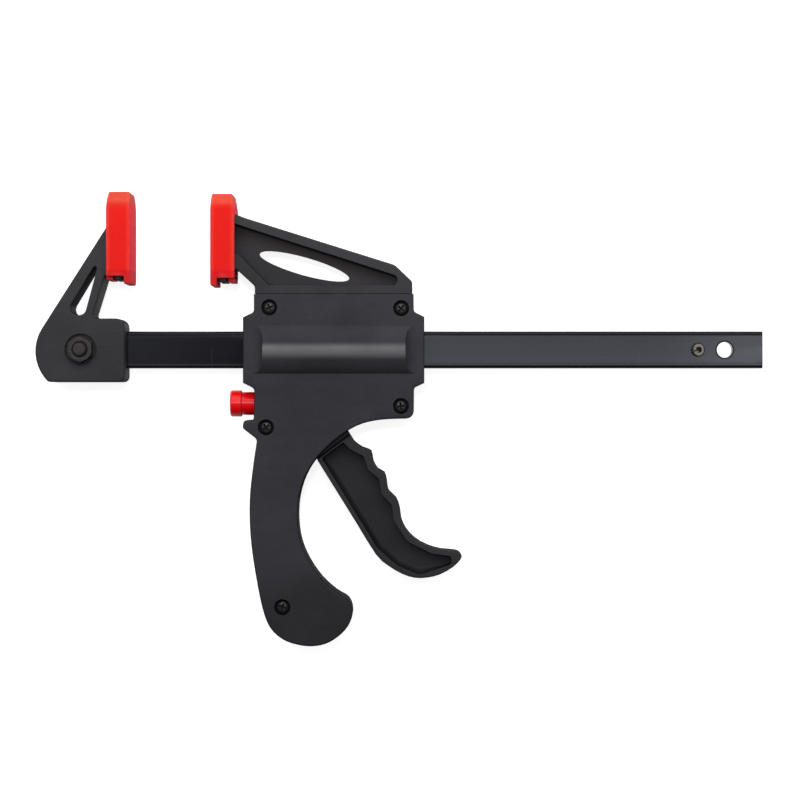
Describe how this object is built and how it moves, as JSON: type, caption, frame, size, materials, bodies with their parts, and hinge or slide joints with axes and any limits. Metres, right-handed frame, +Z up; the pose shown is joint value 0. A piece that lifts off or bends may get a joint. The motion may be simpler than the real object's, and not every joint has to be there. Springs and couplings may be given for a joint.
{
  "type": "quick release bar clamp",
  "caption": "One-handed bar clamp: a pistol-grip housing with trigger and release button slides along a flat steel bar to press two padded jaws together.",
  "frame": {"origin": "under the middle of the part as it lies on its side, on the plane that its lowest point touches", "axes": "+X along the bar from the fixed jaw to the free end, +Y from the grip's foot to the jaw tips, +Z up through the flat side of the clamp with the screw heads uppermost"},
  "size_m": [0.3122, 0.1946, 0.0294],
  "materials": {
    "bar_steel": "blued or black-oxide steel strip, satin, drawn along its length",
    "pin_steel": "oiled spring steel",
    "jaw_nylon": "glass-filled nylon, fine spark-eroded grain",
    "pad_red": "soft moulded plastic, satin",
    "fastener_black": "black-oxide steel",
    "housing_nylon": "glass-filled nylon, fine spark-eroded grain",
    "trigger_nylon": "glass-filled nylon, a little smoother than the housing",
    "plate_steel": "stamped and hardened steel",
    "spring_steel": "drawn spring wire",
    "button_red": "glossy moulded plastic"
  },
  "bodies": {
    "head": {"rear_shell": "housing_nylon", "front_shell": "housing_nylon", "moving_jaw": "jaw_nylon", "moving_jaw_pad": "pad_red", "trigger_pin": "pin_steel", "spring_seat": "plate_steel", "shell_screws": "fastener_black", "drive_spring": "spring_steel", "brake_spring": "spring_steel"},
    "bar": {"bar": "bar_steel", "stop_pin": "pin_steel", "fixed_jaw": "jaw_nylon", "fixed_jaw_pad": "pad_red", "jaw_bolt": "fastener_black", "jaw_nut": "fastener_black"},
    "trigger": {"trigger": "trigger_nylon"},
    "drive": {"drive_plate_1": "plate_steel", "drive_plate_2": "plate_steel"},
    "brake": {"brake_plate": "plate_steel"},
    "button": {"release_button": "button_red"}
  },
  "joints": [
    {"name": "bar_slide", "type": "slide", "parent": "head", "child": "bar", "axis": [1, 0, 0], "range_m": [-0.115, 0.0338]},
    {"name": "trigger_squeeze", "type": "hinge", "parent": "head", "child": "trigger", "pos_m": [-0.03705, 0.0047, 0.0147], "axis": [0, 0, -1], "range_deg": [0, 18], "stiffness_Nm_per_rad": 0.3, "springref_deg": -20.05},
    {"name": "drive_slide", "type": "slide", "parent": "head", "child": "drive", "axis": [1, 0, 0], "range_m": [0, 0.0035], "deforming": ["drive_spring"]},
    {"name": "button_press", "type": "slide", "parent": "head", "child": "button", "axis": [1, 0, 0], "range_m": [0, 0.003], "stiffness_N_per_m": 800, "springref_m": -0.002},
    {"name": "brake_tilt", "type": "hinge", "parent": "head", "child": "brake", "pos_m": [-0.05375, 0.0407, 0.0147], "axis": [0, 0, 1], "range_deg": [0, 4.95], "deforming": ["brake_spring"]}
  ],
  "couplings": [
    {"joint": "drive_slide", "follows": "trigger_squeeze", "m_per_rad": 0.011},
    {"joint": "brake_tilt", "follows": "button_press", "rad_per_m": 28.65}
  ]
}
